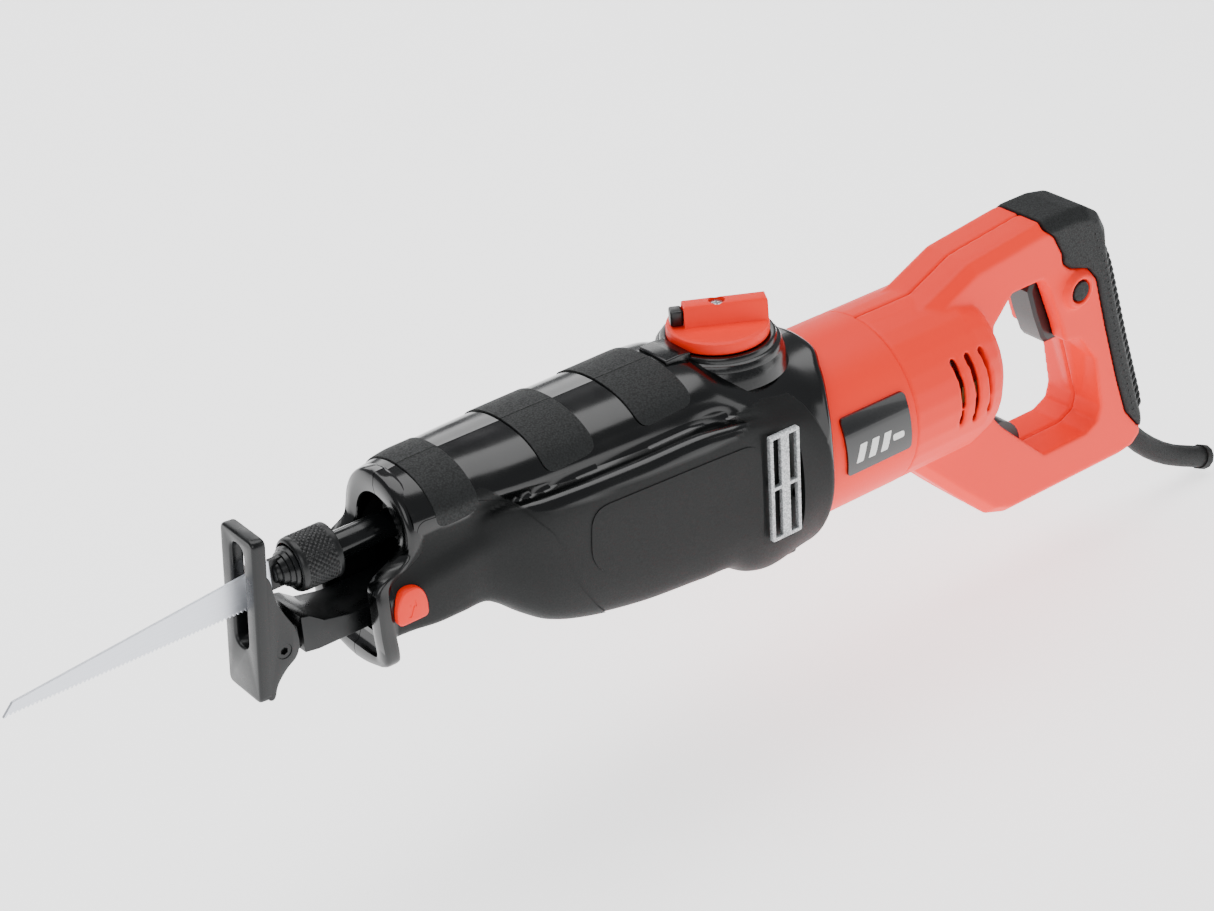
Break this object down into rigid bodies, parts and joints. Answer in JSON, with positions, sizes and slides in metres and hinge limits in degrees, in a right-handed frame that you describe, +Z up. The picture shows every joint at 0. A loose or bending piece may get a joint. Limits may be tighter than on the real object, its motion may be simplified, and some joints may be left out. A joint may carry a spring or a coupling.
{
  "type": "reciprocating saw",
  "caption": "Corded reciprocating saw with a D-shaped rear handle, ribbed rubber grip, keyless blade chuck, pivoting shoe and a rotary selector on top.",
  "frame": {"origin": "bottom centre of the box that holds the whole saw", "axes": "+X from the blade to the handle, +Z up, Y across the tool with the seam of the shells at Y = 0"},
  "size_m": [0.6556, 0.0964, 0.2096],
  "materials": {
    "black_nylon": "glossy moulded nylon with a seam",
    "grip_rubber": "matt overmoulded rubber, fine grain",
    "orange_nylon": "satin orange-red moulded nylon",
    "dark_plastic": "dark moulded plastic",
    "label_film": "black label film, glossy",
    "silver_paint": "speckled silver paint",
    "black_oxide_steel": "black oiled steel, satin gloss",
    "blade_steel": "pale ground steel",
    "bright_steel": "bright turned steel",
    "cast_aluminium": "die cast",
    "lamination_steel": "stacked laminations",
    "copper": "copper bars",
    "bronze": "sintered bronze"
  },
  "bodies": {
    "frame": {"housing_left": "black_nylon", "housing_right": "black_nylon", "grip_band_front_left": "grip_rubber", "grip_band_front_right": "grip_rubber", "grip_band_middle_left": "grip_rubber", "grip_band_middle_right": "grip_rubber", "grip_band_rear_left": "grip_rubber", "grip_band_rear_right": "grip_rubber", "side_pad_left": "grip_rubber", "side_pad_right": "grip_rubber", "vent_grille_left": "silver_paint", "vent_grille_right": "silver_paint", "knob_boss": "dark_plastic", "motor_housing": "orange_nylon", "badge_left": "label_film", "badge_right": "label_film", "stator": "lamination_steel", "bearing_front": "bright_steel", "bearing_rear": "bright_steel", "brush_holder_left": "bronze", "brush_holder_right": "bronze", "gear_case": "cast_aluminium", "gear_spindle": "bright_steel", "bushing_front": "bronze", "bushing_rear": "bronze", "bushing_block": "cast_aluminium", "plunger_seal": "grip_rubber", "grip_cover": "grip_rubber", "handle_left": "orange_nylon", "handle_right": "orange_nylon", "cord_guard": "grip_rubber", "switch_body": "dark_plastic", "speed_module": "dark_plastic", "housing_screw_1": "bright_steel", "housing_screw_2": "bright_steel", "housing_screw_3": "bright_steel", "handle_screw_1": "bright_steel", "handle_screw_2": "bright_steel", "handle_screw_3": "bright_steel"},
    "rotor": {"armature": "bright_steel", "commutator": "copper", "cooling_fan": "dark_plastic"},
    "crank": {"drive_gear": "bright_steel"},
    "plunger": {"plunger": "black_oxide_steel", "chuck_body": "black_oxide_steel", "blade": "blade_steel"},
    "chuck_sleeve": {"chuck_sleeve": "black_oxide_steel"},
    "shoe_bar": {"shoe_bar": "black_oxide_steel"},
    "shoe": {"shoe_plate": "black_oxide_steel", "shoe_pin": "black_oxide_steel"},
    "release_button": {"release_button": "orange_nylon"},
    "selector_knob": {"selector_knob": "orange_nylon", "knob_screw": "bright_steel"},
    "knob_latch": {"knob_latch": "dark_plastic"},
    "trigger": {"trigger": "dark_plastic"},
    "lock_button": {"lock_button": "dark_plastic"},
    "speed_dial": {"speed_dial": "dark_plastic"}
  },
  "joints": [
    {"name": "armature_spin", "type": "hinge", "parent": "frame", "child": "rotor", "pos_m": [0.08416, 0, 0.13342], "axis": [1, 0, 0], "continuous": true},
    {"name": "drive_gear_spin", "type": "hinge", "parent": "frame", "child": "crank", "pos_m": [-0.02084, 0, 0.13342], "axis": [0, 0, 1], "continuous": true},
    {"name": "plunger_slide", "type": "slide", "parent": "frame", "child": "plunger", "axis": [1, 0, 0], "range_m": [0, 0.026]},
    {"name": "chuck_sleeve_turn", "type": "hinge", "parent": "plunger", "child": "chuck_sleeve", "pos_m": [-0.19584, 0, 0.17242], "axis": [1, 0, 0], "range_deg": [0, 40], "stiffness_Nm_per_rad": 0.05},
    {"name": "shoe_slide", "type": "slide", "parent": "frame", "child": "shoe_bar", "axis": [-1, 0, 0], "range_m": [0, 0.03]},
    {"name": "shoe_pivot", "type": "hinge", "parent": "shoe_bar", "child": "shoe", "pos_m": [-0.21884, 0, 0.14542], "axis": [0, 1, 0], "range_deg": [-20, 8]},
    {"name": "release_press", "type": "slide", "parent": "frame", "child": "release_button", "axis": [0, 1, 0], "range_m": [0, 0.003], "stiffness_N_per_m": 400},
    {"name": "selector_turn", "type": "hinge", "parent": "frame", "child": "selector_knob", "pos_m": [0.00816, 0, 0.19942], "axis": [0, 0, 1], "range_deg": [0, 60]},
    {"name": "knob_latch_press", "type": "slide", "parent": "selector_knob", "child": "knob_latch", "axis": [0.866, -0.5, 0], "range_m": [0, 0.003], "stiffness_N_per_m": 300},
    {"name": "trigger_pull", "type": "slide", "parent": "frame", "child": "trigger", "axis": [1, 0, 0], "range_m": [0, 0.005], "stiffness_N_per_m": 700},
    {"name": "lock_press", "type": "slide", "parent": "frame", "child": "lock_button", "axis": [0, 1, 0], "range_m": [0, 0.003], "stiffness_N_per_m": 300},
    {"name": "speed_dial_turn", "type": "hinge", "parent": "frame", "child": "speed_dial", "pos_m": [0.16916, 0, 0.07342], "axis": [0, 1, 0], "range_deg": [-120, 120]}
  ],
  "couplings": [
    {"joint": "drive_gear_spin", "follows": "armature_spin", "ratio": -0.33333}
  ]
}
